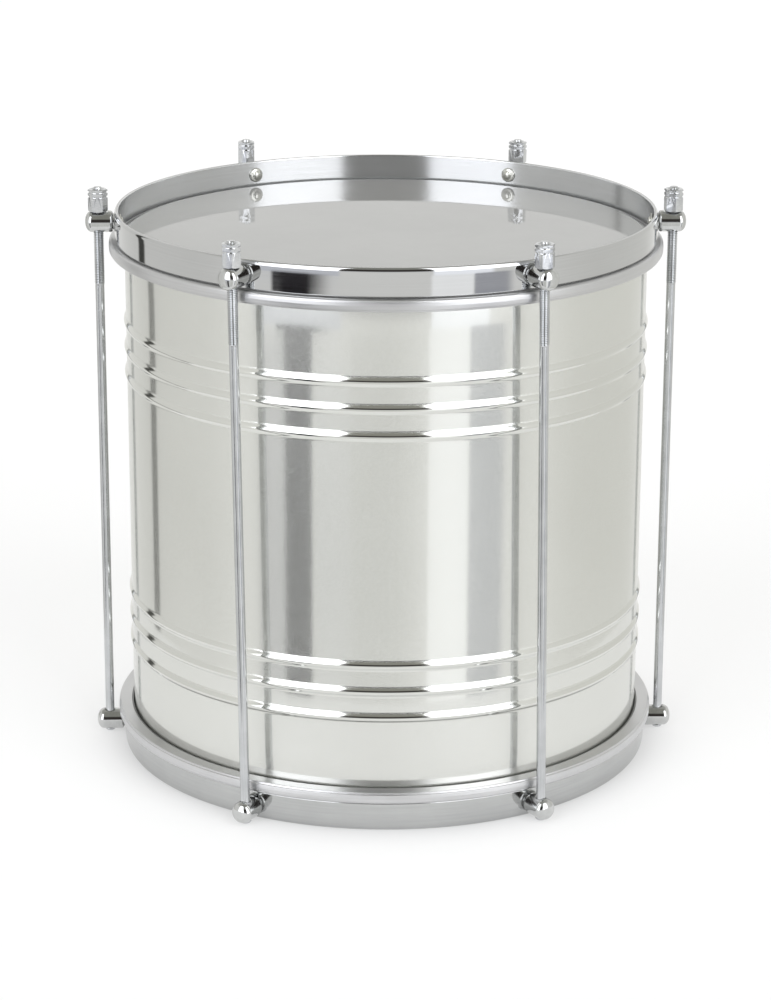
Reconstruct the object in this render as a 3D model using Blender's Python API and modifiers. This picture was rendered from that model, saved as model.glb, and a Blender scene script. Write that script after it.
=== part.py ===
# Repinique: a double-headed samba drum with an aluminium shell.
# Metres, +Z up. The drum stands on its bottom hoop at z = 0, its axis is Z,
# and its front faces -Y. Six tension rods stand round the shell, one every
# 60 degrees starting on +X.

import bpy
import bmesh
from math import cos, sin, pi, radians
from mathutils import Matrix, Vector

# ---------------------------------------------------------------- dimensions
MM = 0.001

ROUND_STEPS = 48                 # facets round the shell, hoops and heads
GAP = 0.3 * MM                   # air between touching pieces

SHELL_R = 152.4 * MM             # 12 inch shell, outside
SHELL_WALL = 1.2 * MM
SHELL_LENGTH = 294.4 * MM
BEAD_RISE = 1.35 * MM            # how far a bead stands proud
BEAD_HALF = 3.4 * MM             # half of its width along the shell
BEADS_BELOW_RIM = (64.6 * MM, 80.1 * MM, 95.6 * MM)
BEADS_ABOVE_BASE = (65.6 * MM, 81.1 * MM, 96.6 * MM)
RIM_DRAW = 1.0 * MM              # how far the shell draws in at its two rims
RIM_DRAW_LONG = 24.0 * MM        # length over which it does so

FILM = 0.3 * MM                  # drumhead film
HEAD_RECESS = 14.8 * MM          # playing surface below the hoop's edge
COLLAR_R = 153.2 * MM            # outside of the film's turned-down collar

HOOP_R_OUT = 158.0 * MM
HOOP_R_IN = 155.5 * MM
HOOP_TALL = 16.5 * MM
HOOP_EDGE = 0.9 * MM             # rounding of the hoop's outer edges

RING_R_IN = 153.5 * MM
RING_R_OUT = 161.5 * MM
RING_TALL = 7.0 * MM

DRUM_H = SHELL_LENGTH + 2 * (HEAD_RECESS + FILM + GAP)

LUGS = 6
LUG_BELOW_RIM = 8.5 * MM         # top lug axis from the top hoop's free edge
LUG_ABOVE_BASE = 7.6 * MM        # bottom lug axis from the table
LUG_R = 6.3 * MM
LUG_TIP = 7.7 * MM               # its end beyond the rod's axis
LUG_CAP = 4.4 * MM               # length of the rounded end
LUG_SHOULDER = 2.2 * MM          # where it starts to round in to its neck
LUG_NECK_R = 4.7 * MM            # the neck, against the hoop
LUG_NECK = 0.8 * MM
LUG_SPOT = 5.7 * MM              # the nut's flat spot face above the lug's axis
LUG_FOOT_SPOT = 5.3 * MM         # and the rod's under the bottom lug's axis
LUG_TOP_HOLE_R = 3.6 * MM
LUG_LOW_HOLE_R = 3.05 * MM
# The lugs are not spaced quite evenly and the top hoop sits turned against the
# bottom one, so each rod leans a little. Degrees from the even spacing:
TOP_OFFSETS = (-0.4, -0.75, 0.2, 0.2, -1.05, -0.7)
LOW_OFFSETS = (-0.3, 0.3, 0.3, 0.6, 0.65, 0.8)

ROD_CIRCLE_R = 167.5 * MM
ROD_R = 2.65 * MM                # plain part
THREAD_R = 3.0 * MM              # M6 thread
THREAD_LONG = 58.4 * MM
ROD_ABOVE_RIM = 12.0 * MM
ROD_HEAD_R = 3.25 * MM

NUT_AF = 10.0 * MM               # across flats
NUT_TALL = 13.2 * MM
NUT_GROOVES = (1.8 * MM, 4.5 * MM)   # two turned grooves, below the nut's top
NUT_GROOVE_R = 5.05 * MM         # their floor, so they only notch the corners
NUT_GROOVE_HALF = 0.75 * MM
NUT_TURNS = (9, 37, 1, 32, 3, 44)    # degrees each nut has come to rest at
NUT_BORE_R = 3.3 * MM

SCREW_R = 2.0 * MM
SCREW_HOLE_R = 2.3 * MM
SCREW_HEAD_R = 4.15 * MM
SCREW_HEAD_TALL = 2.4 * MM
SCREW_INTO_LUG = 5.0 * MM

# ------------------------------------------------------------------ clean up
for old in list(bpy.data.objects):
    bpy.data.objects.remove(old, do_unlink=True)

parts = bpy.data.collections.new("repinique")
cutters = bpy.data.collections.new("cutters")
bpy.context.scene.collection.children.link(parts)
bpy.context.scene.collection.children.link(cutters)


# ----------------------------------------------------------------- materials
def material(name, colour, metallic, roughness):
    mat = bpy.data.materials.new(name)
    mat.use_nodes = True
    bsdf = mat.node_tree.nodes["Principled BSDF"]
    bsdf.inputs["Base Color"].default_value = (*colour, 1.0)
    bsdf.inputs["Metallic"].default_value = metallic
    bsdf.inputs["Roughness"].default_value = roughness
    mat.diffuse_color = (*colour, 1.0)
    return mat


SHELL_LOOK = ("aluminium shell", (0.78, 0.78, 0.75), 1.0, 0.18)
HOOP_LOOK = ("chromed hoop", (0.72, 0.72, 0.72), 1.0, 0.10)
RING_LOOK = ("satin ring", (0.70, 0.71, 0.71), 1.0, 0.25)
FILM_LOOK = ("head film", (0.60, 0.60, 0.58), 0.0, 0.22)
LUG_LOOK = ("chromed lug", (0.74, 0.74, 0.73), 1.0, 0.12)
ROD_LOOK = ("zinc rod", (0.62, 0.63, 0.64), 1.0, 0.28)
NUT_LOOK = ("zinc nut", (0.60, 0.61, 0.62), 1.0, 0.26)
SCREW_LOOK = ("screw", (0.50, 0.49, 0.46), 1.0, 0.22)


# --------------------------------------------------------------------- tools
def add_object(name, mesh, look, coll=parts):
    obj = bpy.data.objects.new(name, mesh)
    coll.objects.link(obj)
    if look is not None:
        mesh.materials.clear()
        mesh.materials.append(material(name + " " + look[0], look[1], look[2], look[3]))
    return obj


def profile_mesh(name, points, closed):
    """An outline in the XZ plane, ready for the Screw modifier."""
    mesh = bpy.data.meshes.new(name)
    verts = [(r, 0.0, z) for r, z in points]
    edges = [(i, i + 1) for i in range(len(verts) - 1)]
    if closed:
        edges.append((len(verts) - 1, 0))
    mesh.from_pydata(verts, edges, [])
    return mesh


def turned(name, points, steps, look=None, closed=False, coll=parts):
    """A turned piece. The outline runs down its outer side, top to bottom,
    and either closes on itself or starts and ends on the Z axis."""
    obj = add_object(name, profile_mesh(name, points, closed), look, coll)
    screw = obj.modifiers.new("turn", "SCREW")
    screw.axis = "Z"
    screw.angle = 2 * pi
    screw.steps = steps
    screw.render_steps = steps
    screw.use_merge_vertices = True
    screw.merge_threshold = 0.00001
    screw.use_smooth_shade = True
    return obj


def baked(obj, sharp=35.0):
    """The mesh of an object with its modifiers applied."""
    graph = bpy.context.evaluated_depsgraph_get()
    mesh = bpy.data.meshes.new_from_object(obj.evaluated_get(graph))
    mesh.shade_smooth()
    mesh.set_sharp_from_angle(angle=radians(sharp))
    return mesh


def apply_modifiers(obj, sharp=35.0):
    mesh = baked(obj, sharp)
    mats = [m for m in obj.data.materials]
    obj.modifiers.clear()
    obj.data = mesh
    mesh.materials.clear()
    for m in mats:
        mesh.materials.append(m)
    return obj


def cylinder_cutter(name, radius, length, matrix, sides=12):
    """A straight bore along the local Z of the given matrix."""
    mesh = bpy.data.meshes.new(name)
    bm = bmesh.new()
    bmesh.ops.create_cone(bm, cap_ends=True, cap_tris=False, segments=sides,
                          radius1=radius, radius2=radius, depth=length)
    bm.to_mesh(mesh)
    bm.free()
    obj = bpy.data.objects.new(name, mesh)
    cutters.objects.link(obj)
    obj.matrix_world = matrix
    obj.hide_render = True
    obj.display_type = "WIRE"
    return obj


def box_cutter(name, size, matrix):
    mesh = bpy.data.meshes.new(name)
    bm = bmesh.new()
    bmesh.ops.create_cube(bm, size=1.0)
    bmesh.ops.scale(bm, vec=Vector(size), verts=bm.verts)
    bm.to_mesh(mesh)
    bm.free()
    obj = bpy.data.objects.new(name, mesh)
    cutters.objects.link(obj)
    obj.matrix_world = matrix
    obj.hide_render = True
    obj.display_type = "WIRE"
    return obj


def cut(obj, cutter, operation="DIFFERENCE"):
    mod = obj.modifiers.new(cutter.name, "BOOLEAN")
    mod.operation = operation
    mod.object = cutter
    mod.solver = "EXACT"
    return mod


def angle_of(i):
    return 2 * pi * i / LUGS


def radial_matrix(angle, radius, height):
    """Local Z points outwards from the drum's axis, local Y points up."""
    out = Vector((cos(angle), sin(angle), 0.0))
    up = Vector((0.0, 0.0, 1.0))
    side = up.cross(out)
    rot = Matrix((side, up, out)).transposed().to_4x4()
    return Matrix.Translation(Vector((radius * cos(angle), radius * sin(angle), height))) @ rot


# --------------------------------------------------------------------- shell
def bead(z, base_r, rise, half, points):
    """One rolled bead as outline points, from its top end to its lower end."""
    out = []
    for i in range(points):
        t = -1.0 + 2.0 * i / (points - 1)
        out.append((base_r + rise * 0.5 * (1.0 + cos(pi * t)), z - t * half))
    return out


SHELL_Z0 = HEAD_RECESS + FILM + GAP
SHELL_Z1 = SHELL_Z0 + SHELL_LENGTH
bead_heights = [DRUM_H - b for b in BEADS_BELOW_RIM] + sorted(BEADS_ABOVE_BASE, reverse=True)


def drawn_in(z):
    """How far the rolled sheet leans inwards near its rims."""
    s = max(z - (SHELL_Z1 - RIM_DRAW_LONG), (SHELL_Z0 + RIM_DRAW_LONG) - z, 0.0)
    return RIM_DRAW * (s / RIM_DRAW_LONG) ** 2


outer = []
for z in (SHELL_Z1, SHELL_Z1 - 0.6 * MM, SHELL_Z1 - 13 * MM, SHELL_Z1 - RIM_DRAW_LONG):
    outer.append((SHELL_R - drawn_in(z) - (0.6 * MM if z == SHELL_Z1 else 0.0), z))
for z in bead_heights:
    outer += bead(z, SHELL_R, BEAD_RISE, BEAD_HALF, 5)
for z in (SHELL_Z0 + RIM_DRAW_LONG, SHELL_Z0 + 13 * MM, SHELL_Z0 + 0.6 * MM, SHELL_Z0):
    outer.append((SHELL_R - drawn_in(z) - (0.6 * MM if z == SHELL_Z0 else 0.0), z))
inner_r = SHELL_R - SHELL_WALL
inner = [(inner_r - drawn_in(z), z) for z in (SHELL_Z0, SHELL_Z0 + 13 * MM, SHELL_Z0 + RIM_DRAW_LONG)]
for z in reversed(bead_heights):
    inner += list(reversed(bead(z, inner_r, BEAD_RISE, BEAD_HALF, 3)))
inner += [(inner_r - drawn_in(z), z) for z in (SHELL_Z1 - RIM_DRAW_LONG, SHELL_Z1 - 13 * MM, SHELL_Z1)]
shell = turned("shell", outer + inner, ROUND_STEPS, SHELL_LOOK, closed=True)
apply_modifiers(shell)


# --------------------------------------------------------------------- heads
# Each head is one film: a flat playing surface, a small radius over the
# shell's edge and a collar that runs down between the shell and its ring.
def head_outline():
    top = 0.0
    drop = HEAD_RECESS - HOOP_TALL - RING_TALL      # collar's end below the surface
    bend = 1.6 * MM
    outline = [(0.0, top), (COLLAR_R - bend, top),
               (COLLAR_R - bend * 0.3, top - bend * 0.3), (COLLAR_R, top - bend),
               (COLLAR_R, drop), (COLLAR_R - FILM, drop),
               (COLLAR_R - FILM, top - bend),
               (COLLAR_R - bend * 0.3 - FILM * 0.7, top - bend * 0.3 - FILM * 0.7),
               (COLLAR_R - bend, top - FILM), (0.0, top - FILM)]
    return outline


top_film = turned("top_head_film", head_outline(), ROUND_STEPS, FILM_LOOK)
top_film.location = (0.0, 0.0, DRUM_H - HEAD_RECESS)
apply_modifiers(top_film)

bottom_film = turned("bottom_head_film", head_outline(), ROUND_STEPS, FILM_LOOK)
bottom_film.location = (0.0, 0.0, HEAD_RECESS)
bottom_film.rotation_euler = (pi, 0.0, 0.0)
apply_modifiers(bottom_film)


# --------------------------------------------------------------- flesh rings
def ring_outline():
    """Rounded outside, flat where the hoop bears on it."""
    r, h = RING_R_OUT, RING_TALL
    return [(r - 2.6 * MM, h), (r - 0.8 * MM, h - 0.8 * MM), (r, h - 2.6 * MM),
            (r, 2.4 * MM), (r - 0.8 * MM, 0.7 * MM), (r - 2.6 * MM, 0.0),
            (RING_R_IN, 0.0), (RING_R_IN, h)]


top_ring = turned("top_head_ring", ring_outline(), ROUND_STEPS, RING_LOOK, closed=True)
top_ring.location = (0.0, 0.0, DRUM_H - HOOP_TALL - GAP - RING_TALL)
apply_modifiers(top_ring)

bottom_ring = turned("bottom_head_ring", ring_outline(), ROUND_STEPS, RING_LOOK, closed=True)
bottom_ring.location = (0.0, 0.0, HOOP_TALL + GAP)
apply_modifiers(bottom_ring)


# --------------------------------------------------------------------- hoops
def hoop_outline():
    e = HOOP_EDGE
    return [(HOOP_R_OUT - e, HOOP_TALL), (HOOP_R_OUT, HOOP_TALL - e),
            (HOOP_R_OUT, e), (HOOP_R_OUT - e, 0.0),
            (HOOP_R_IN, 0.0), (HOOP_R_IN, HOOP_TALL)]


def make_hoop(name, base_z, lug_z, offsets):
    hoop = turned(name, hoop_outline(), ROUND_STEPS, HOOP_LOOK, closed=True)
    hoop.location = (0.0, 0.0, base_z)
    for i in range(LUGS):
        bore = cylinder_cutter(f"{name}_screw_hole_{i + 1}", SCREW_HOLE_R, 12 * MM,
                               radial_matrix(angle_of(i) + radians(offsets[i]), HOOP_R_OUT, lug_z), 12)
        cut(hoop, bore)
    bpy.context.view_layer.update()
    apply_modifiers(hoop)
    return hoop


TOP_LUG_Z = DRUM_H - LUG_BELOW_RIM
LOW_LUG_Z = LUG_ABOVE_BASE
top_hoop = make_hoop("top_hoop", DRUM_H - HOOP_TALL, TOP_LUG_Z, TOP_OFFSETS)
bottom_hoop = make_hoop("bottom_hoop", 0.0, LOW_LUG_Z, LOW_OFFSETS)


def top_angle(i):
    return angle_of(i) + radians(TOP_OFFSETS[i])


def low_angle(i):
    return angle_of(i) + radians(LOW_OFFSETS[i])


# ---------------------------------------------------------------------- lugs
# A lug is turned from bar: a straight body with a rounded end, which rounds in
# to a short neck at the hoop. The rod's hole crosses it, a screw enters it from
# the hoop side.
LUG_BASE_R = HOOP_R_OUT + GAP
LUG_BODY = ROD_CIRCLE_R - LUG_BASE_R


def lug_outline():
    start = LUG_BODY + LUG_TIP - LUG_CAP
    pts = [(0.0, start + LUG_CAP)]
    for i in range(1, 5):
        a = i * (pi / 2) / 5
        pts.append((LUG_R * sin(a) ** 0.9, start + LUG_CAP * cos(a) ** 0.9))
    pts += [(LUG_R, start), (LUG_R, LUG_SHOULDER), (LUG_R - 0.35 * MM, LUG_SHOULDER - 1.0 * MM),
            (LUG_NECK_R, LUG_NECK), (LUG_NECK_R, 0.0), (0.0, 0.0)]
    return pts


def lug_mesh(name, hole_r, spot_side, spot):
    """Local Z outwards, local Y up. spot_side is +1 where the nut bears on the
    upper side, -1 where the rod's head bears on the lower side."""
    raw = turned(name, lug_outline(), 14, None, coll=cutters)
    across = Matrix.Translation((0.0, 0.0, LUG_BODY)) @ Matrix.Rotation(pi / 2, 4, "X")
    bore = cylinder_cutter(name + "_rod_hole", hole_r, 30 * MM, across, 12)
    seat = box_cutter(name + "_spot_face", (20 * MM, 4 * MM, 15.6 * MM),
                      Matrix.Translation((0.0, spot_side * (spot + 2 * MM), LUG_BODY + 0.6 * MM)))
    thread = cylinder_cutter(name + "_screw_hole", SCREW_HOLE_R, 2 * (SCREW_INTO_LUG + GAP),
                             Matrix.Identity(4), 12)
    cut(raw, bore)
    cut(raw, seat)
    cut(raw, thread)
    bpy.context.view_layer.update()
    mesh = baked(raw)
    bpy.data.objects.remove(raw, do_unlink=True)
    return mesh


top_lug = lug_mesh("top_lug_shape", LUG_TOP_HOLE_R, 1, LUG_SPOT)
low_lug = lug_mesh("bottom_lug_shape", LUG_LOW_HOLE_R, -1, LUG_FOOT_SPOT)


def place(name, mesh, look, matrix):
    obj = add_object(name, mesh.copy(), look)
    obj.matrix_world = matrix
    return obj


for i in range(LUGS):
    place(f"top_lug_{i + 1}", top_lug, LUG_LOOK, radial_matrix(top_angle(i), LUG_BASE_R, TOP_LUG_Z))
    place(f"bottom_lug_{i + 1}", low_lug, LUG_LOOK, radial_matrix(low_angle(i), LUG_BASE_R, LOW_LUG_Z))


# -------------------------------------------------------------------- screws
# A domed head inside the hoop, and a shank that runs out into the lug.
def screw_outline():
    seat = -(HOOP_R_OUT - HOOP_R_IN) - GAP       # head's bearing face, from the hoop's outside
    tip = GAP + SCREW_INTO_LUG
    return [(0.0, tip), (SCREW_R, tip), (SCREW_R, seat - 0.25 * MM),
            (SCREW_HEAD_R, seat - 0.25 * MM), (SCREW_HEAD_R, seat - 0.9 * MM),
            (SCREW_HEAD_R * 0.62, seat - SCREW_HEAD_TALL * 0.86),
            (0.0, seat - SCREW_HEAD_TALL)]


screw_raw = turned("screw_shape", screw_outline(), 12, None, coll=cutters)
screw_mesh = baked(screw_raw)
bpy.data.objects.remove(screw_raw, do_unlink=True)
for i in range(LUGS):
    place(f"top_lug_screw_{i + 1}", screw_mesh, SCREW_LOOK,
          radial_matrix(top_angle(i), HOOP_R_OUT, TOP_LUG_Z))
    place(f"bottom_lug_screw_{i + 1}", screw_mesh, SCREW_LOOK,
          radial_matrix(low_angle(i), HOOP_R_OUT, LOW_LUG_Z))


# -------------------------------------------------------------- tension rods
# A small rounded head under the bottom lug, a long plain shank and a thread
# that reaches up through the top lug and the nut.
ROD_Z0 = LOW_LUG_Z - LUG_FOOT_SPOT - GAP - 1.9 * MM
ROD_Z1 = DRUM_H + ROD_ABOVE_RIM


def rod_outline():
    head_top = LOW_LUG_Z - LUG_FOOT_SPOT - GAP
    thread_z = ROD_Z1 - THREAD_LONG
    return [(0.0, ROD_Z1), (THREAD_R - 0.7 * MM, ROD_Z1), (THREAD_R, ROD_Z1 - 0.8 * MM),
            (THREAD_R, thread_z), (ROD_R, thread_z - 0.5 * MM), (ROD_R, head_top),
            (ROD_HEAD_R, head_top), (ROD_HEAD_R * 0.8, head_top - 1.2 * MM),
            (0.0, ROD_Z0)]


def rod_axis(i):
    """Local Z runs up the rod, from the axis of its bottom lug to the axis of
    its top lug. The origin is level with z = 0."""
    low, top = low_angle(i), top_angle(i)
    foot = Vector((ROD_CIRCLE_R * cos(low), ROD_CIRCLE_R * sin(low), LOW_LUG_Z))
    head = Vector((ROD_CIRCLE_R * cos(top), ROD_CIRCLE_R * sin(top), TOP_LUG_Z))
    lean = Vector((0.0, 0.0, 1.0)).rotation_difference(head - foot).to_matrix().to_4x4()
    return Matrix.Translation(foot) @ lean @ Matrix.Translation((0.0, 0.0, -LOW_LUG_Z))


rod_raw = turned("rod_shape", rod_outline(), 12, None, coll=cutters)
rod_mesh = baked(rod_raw)
bpy.data.objects.remove(rod_raw, do_unlink=True)
for i in range(LUGS):
    place(f"tension_rod_{i + 1}", rod_mesh, ROD_LOOK, rod_axis(i))


# -------------------------------------------------------------- tension nuts
# A tall hexagonal nut, chamfered at both ends, with two turned grooves near
# its top that notch its corners. The nut's origin is on its rod's axis, where
# it bears on the lug.
def nut_shape():
    hexagon = bpy.data.meshes.new("nut_hexagon")
    bm = bmesh.new()
    bmesh.ops.create_cone(bm, cap_ends=True, cap_tris=False, segments=6,
                          radius1=NUT_AF / 2 / cos(pi / 6), radius2=NUT_AF / 2 / cos(pi / 6),
                          depth=NUT_TALL,
                          matrix=Matrix.Translation((0.0, 0.0, NUT_TALL / 2)))
    bm.to_mesh(hexagon)
    bm.free()
    obj = bpy.data.objects.new("nut_shape", hexagon)
    cutters.objects.link(obj)
    across = NUT_AF / 2 / cos(pi / 6)
    flat, g = NUT_AF / 2, NUT_GROOVE_HALF
    outline = [(0.0, NUT_TALL), (flat - 0.1 * MM, NUT_TALL), (across + 0.3 * MM, NUT_TALL - 0.7 * MM)]
    for depth in NUT_GROOVES:
        z = NUT_TALL - depth
        outline += [(across + 0.3 * MM, z + g), (NUT_GROOVE_R, z + 0.3 * g),
                    (NUT_GROOVE_R, z - 0.3 * g), (across + 0.3 * MM, z - g)]
    outline += [(across + 0.3 * MM, 0.75 * MM), (flat - 0.1 * MM, 0.0), (0.0, 0.0)]
    turning = turned("nut_turning", outline, 24, None, coll=cutters)
    turning.hide_render = True
    turning.display_type = "WIRE"
    bore = cylinder_cutter("nut_bore", NUT_BORE_R, 40 * MM, Matrix.Identity(4), 12)
    cut(obj, turning, "INTERSECT")
    cut(obj, bore)
    bpy.context.view_layer.update()
    mesh = baked(obj, 25.0)
    bpy.data.objects.remove(obj, do_unlink=True)
    return mesh


nut_mesh = nut_shape()
NUT_Z = TOP_LUG_Z + LUG_SPOT + GAP
for i in range(LUGS):
    place(f"tension_nut_{i + 1}", nut_mesh, NUT_LOOK,
          rod_axis(i) @ Matrix.Translation((0.0, 0.0, NUT_Z)) @ Matrix.Rotation(radians(NUT_TURNS[i]), 4, "Z"))

bpy.context.view_layer.update()
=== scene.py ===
"""The looks of a repinique: a samba drum with a beaded aluminium shell, two
heads in flesh rings, two flat hoops and six long tension rods.

Every piece is made here from its own dimensions, in metres, in the frame of
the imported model. The drum's axis is Z, it stands on z = 0, its front is -Y.
"""

from math import atan, cos, pi, radians, sin, sqrt, tan

import bmesh
import bpy
from mathutils import Matrix, Vector


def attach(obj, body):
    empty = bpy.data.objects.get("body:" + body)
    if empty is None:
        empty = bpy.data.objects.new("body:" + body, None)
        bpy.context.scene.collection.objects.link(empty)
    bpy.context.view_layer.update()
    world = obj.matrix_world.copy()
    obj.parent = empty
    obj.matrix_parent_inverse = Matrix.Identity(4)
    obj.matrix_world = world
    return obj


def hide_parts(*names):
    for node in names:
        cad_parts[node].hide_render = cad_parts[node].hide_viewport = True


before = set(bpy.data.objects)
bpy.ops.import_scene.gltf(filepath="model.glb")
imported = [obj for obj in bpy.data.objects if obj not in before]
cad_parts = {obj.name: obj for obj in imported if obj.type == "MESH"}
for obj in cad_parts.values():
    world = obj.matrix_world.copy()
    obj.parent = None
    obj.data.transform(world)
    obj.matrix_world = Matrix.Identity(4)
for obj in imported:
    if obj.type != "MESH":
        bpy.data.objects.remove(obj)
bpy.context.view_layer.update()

MM = 0.001
TAU = 2 * pi

# ---------------------------------------------------------------- dimensions
ROUND = 240                       # segments round the shell, hoops and heads

SHELL_R = 152.4 * MM
SHELL_WALL = 1.2 * MM
SHELL_Z0, SHELL_Z1 = 15.4 * MM, 309.8 * MM
BEAD_RISE, BEAD_HALF = 1.35 * MM, 3.4 * MM
RIM_DRAW, RIM_DRAW_LONG = 1.0 * MM, 24.0 * MM

DRUM_H = 325.2 * MM
FILM = 0.3 * MM
HEAD_RECESS = 14.8 * MM
COLLAR_R = 153.2 * MM

HOOP_R_OUT, HOOP_R_IN, HOOP_TALL = 158.0 * MM, 155.5 * MM, 16.5 * MM
RING_R_IN, RING_R_OUT, RING_TALL = 153.5 * MM, 161.5 * MM, 7.0 * MM
GAP = 0.3 * MM

LUG_Z_LOW, LUG_Z_TOP = 7.6 * MM, DRUM_H - 8.5 * MM
LUG_BASE_R = HOOP_R_OUT + GAP
ROD_CIRCLE_R = 167.5 * MM
LUG_BODY = ROD_CIRCLE_R - LUG_BASE_R
LUG_R, LUG_TIP, LUG_CAP = 6.3 * MM, 7.7 * MM, 4.4 * MM
LUG_SPOT, LUG_FOOT_SPOT = 5.7 * MM, 5.3 * MM
# The lugs are not spaced quite evenly and the top hoop sits turned against the
# bottom one, so each rod leans a little. Degrees from the even spacing:
TOP_OFFSETS = (-0.4, -0.75, 0.2, 0.2, -1.05, -0.7)
LOW_OFFSETS = (-0.3, 0.3, 0.3, 0.6, 0.65, 0.8)
TOP_TURN, LOW_TURN = -0.4, 0.3     # the turn of each hoop itself

ROD_R, THREAD_CREST, THREAD_ROOT = 2.65 * MM, 3.0 * MM, 2.47 * MM
PITCH = 1.0 * MM
ROD_Z0 = LUG_Z_LOW - LUG_FOOT_SPOT - GAP - 1.9 * MM
ROD_Z1 = DRUM_H + 12.0 * MM
THREAD_LONG = 58.4 * MM

NUT_AF, NUT_TALL = 10.0 * MM, 13.2 * MM
NUT_GROOVES = (1.8 * MM, 4.5 * MM)
NUT_TURNS = (9, 37, 1, 32, 3, 44)    # degrees each nut has come to rest at
NUT_Z = LUG_Z_TOP + LUG_SPOT + GAP

SCREW_R, SCREW_HOLE_R = 2.0 * MM, 2.3 * MM


# --------------------------------------------------------------------- tools
def rounded(points, radii, arc=6, hold=0.15 * MM):
    """A closed outline whose corners are arcs, each held by a point beside it
    so that the flat stretches stay flat when shaded."""
    out, n = [], len(points)
    for i, (point, r) in enumerate(zip(points, radii)):
        p, a, b = Vector(point), Vector(points[i - 1]), Vector(points[(i + 1) % n])
        if r <= 0:
            out.append((p.x, p.y))
            continue
        u, v = (a - p).normalized(), (b - p).normalized()
        half = u.angle(v) / 2
        d = r / tan(half)
        centre = p + (u + v).normalized() * (r / sin(half))
        s, e = p + u * d - centre, p + v * d - centre
        swing = s.angle(e)
        pts = [p + u * (d + hold)]
        for k in range(arc + 1):
            t = k / arc
            pts.append(centre + (s * sin((1 - t) * swing) + e * sin(t * swing)) / sin(swing))
        pts.append(p + v * (d + hold))
        out += [(q.x, q.y) for q in pts]
    return out


def finish_mesh(bm, name, sharp=32.0, recalc=True):
    if recalc:
        bmesh.ops.recalc_face_normals(bm, faces=bm.faces)
    mesh = bpy.data.meshes.new(name)
    bm.to_mesh(mesh)
    bm.free()
    mesh.shade_smooth()
    mesh.set_sharp_from_angle(angle=radians(sharp))
    return mesh


def turned_bm(outline, steps, closed):
    """A turned surface about Z. The outline is (r, z), and closes on itself or
    starts and ends on the axis."""
    bm = bmesh.new()
    rings = []
    for r, z in outline:
        if r < 1e-7:
            rings.append([bm.verts.new((0.0, 0.0, z))])
        else:
            rings.append([bm.verts.new((r * cos(TAU * j / steps), r * sin(TAU * j / steps), z))
                          for j in range(steps)])
    n = len(rings)
    for i in range(n if closed else n - 1):
        a, b = rings[i], rings[(i + 1) % n]
        for j in range(steps):
            k = (j + 1) % steps
            if len(a) == 1 and len(b) == 1:
                continue
            if len(a) == 1:
                bm.faces.new((a[0], b[j], b[k]))
            elif len(b) == 1:
                bm.faces.new((a[j], b[0], a[k]))
            else:
                bm.faces.new((a[j], b[j], b[k], a[k]))
    return bm, rings


def turned(name, outline, steps=ROUND, closed=True, sharp=32.0):
    bm, _ = turned_bm(outline, steps, closed)
    return finish_mesh(bm, name, sharp)


def add_piece(name, mesh, body, nodes, mats, matrix=None):
    obj = bpy.data.objects.new(name, mesh)
    bpy.context.scene.collection.objects.link(obj)
    if not mesh.materials:
        for m in (mats if isinstance(mats, (list, tuple)) else [mats]):
            mesh.materials.append(m)
    if matrix is not None:
        obj.matrix_world = matrix
    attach(obj, body)
    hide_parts(*nodes)
    return obj


def radial_matrix(angle, radius, height):
    """Local Z points outwards from the drum's axis, local Y points up."""
    out = Vector((cos(angle), sin(angle), 0.0))
    up = Vector((0.0, 0.0, 1.0))
    side = up.cross(out)
    rot = Matrix((side, up, out)).transposed().to_4x4()
    return Matrix.Translation((radius * cos(angle), radius * sin(angle), height)) @ rot


def top_angle(i):
    return TAU * i / 6 + radians(TOP_OFFSETS[i])


def low_angle(i):
    return TAU * i / 6 + radians(LOW_OFFSETS[i])


def boolean(base, cutter, operation="DIFFERENCE"):
    """base and cutter are meshes. The result is a new mesh."""
    a = bpy.data.objects.new("tmp_base", base)
    b = bpy.data.objects.new("tmp_cutter", cutter)
    for o in (a, b):
        bpy.context.scene.collection.objects.link(o)
    mod = a.modifiers.new("cut", "BOOLEAN")
    mod.operation, mod.object, mod.solver = operation, b, "EXACT"
    bpy.context.view_layer.update()
    graph = bpy.context.evaluated_depsgraph_get()
    mesh = bpy.data.meshes.new_from_object(a.evaluated_get(graph))
    for o in (a, b):
        bpy.data.objects.remove(o, do_unlink=True)
    return mesh


def moved(mesh, matrix):
    mesh.transform(matrix)
    return mesh


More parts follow.
